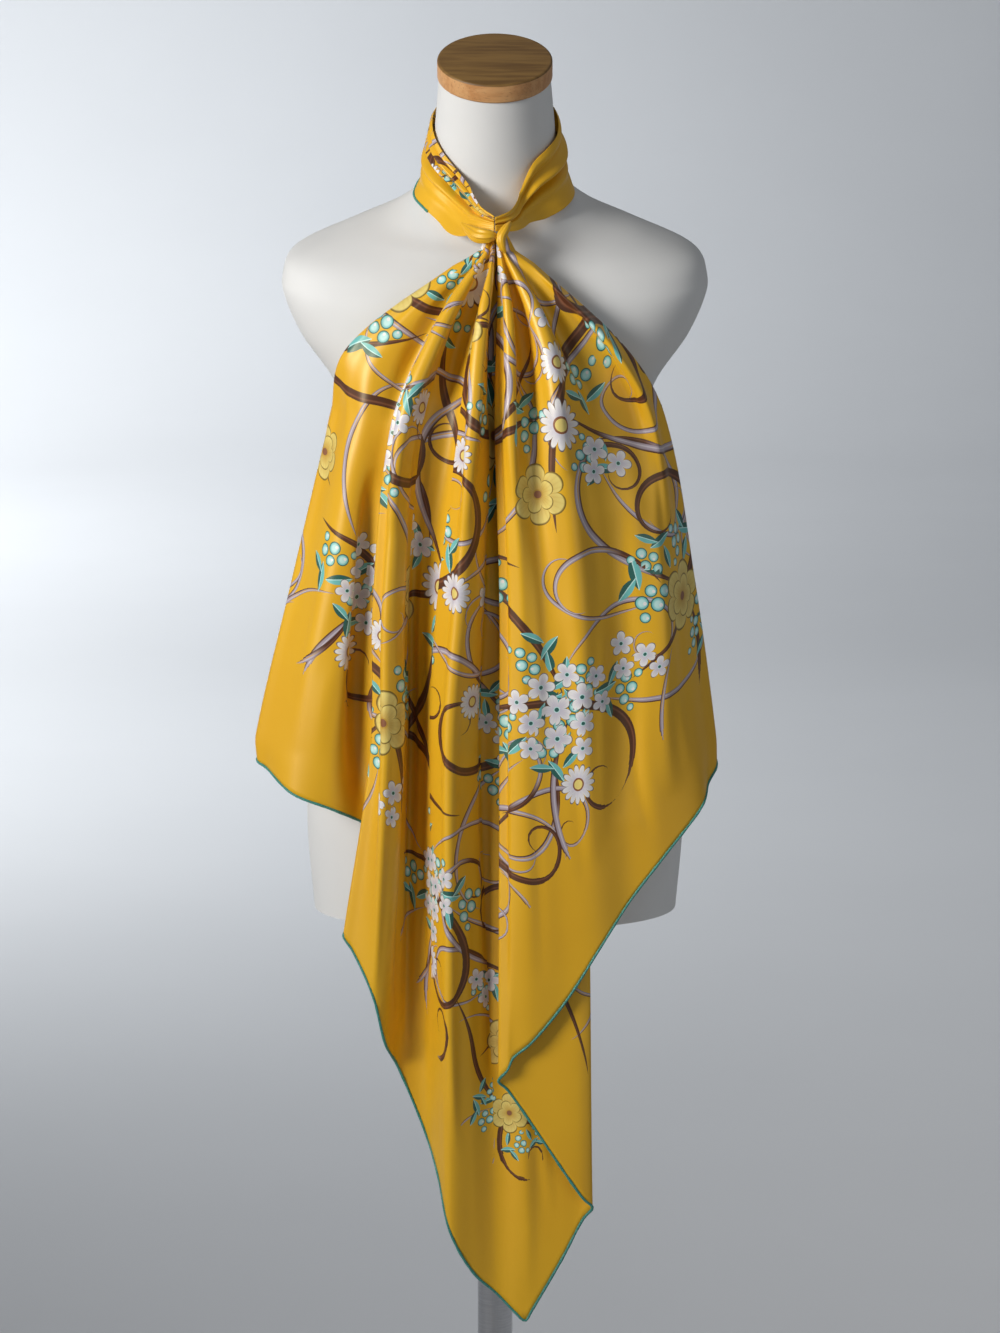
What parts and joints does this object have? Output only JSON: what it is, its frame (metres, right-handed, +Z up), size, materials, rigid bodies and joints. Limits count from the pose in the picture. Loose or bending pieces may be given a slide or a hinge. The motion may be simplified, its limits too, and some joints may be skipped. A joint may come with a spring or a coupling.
{
  "type": "silk square scarf tied as a halter on a limbless dress form",
  "caption": "Golden silk square wound round the neck of a limbless dress form and knotted at the throat, falling in front in pleats and folds to one pointed corner.",
  "frame": {"origin": "middle of the underside of the round base, where the stand rests on the floor", "axes": "+Z up along the pole; the front of the form and the scarf face -Y; +X is to the right seen from the front"},
  "size_m": [0.4106, 0.34, 1.4751],
  "materials": {
    "golden_silk": "printed silk twill with a soft sheen",
    "white_form": "matte white shell",
    "neck_wood": "fine grain, oiled",
    "base_paint": "satin powder coat",
    "pole_steel": "brushed"
  },
  "bodies": {
    "root": {"front_fall": "golden_silk", "neck_stretch_left": "golden_silk", "neck_stretch_right": "golden_silk", "knot": "golden_silk", "form_torso": "white_form", "form_neck_cap": "neck_wood", "form_bottom_plate": "base_paint", "form_collar": "pole_steel", "form_pole": "pole_steel", "form_base": "base_paint"}
  },
  "joints": []
}
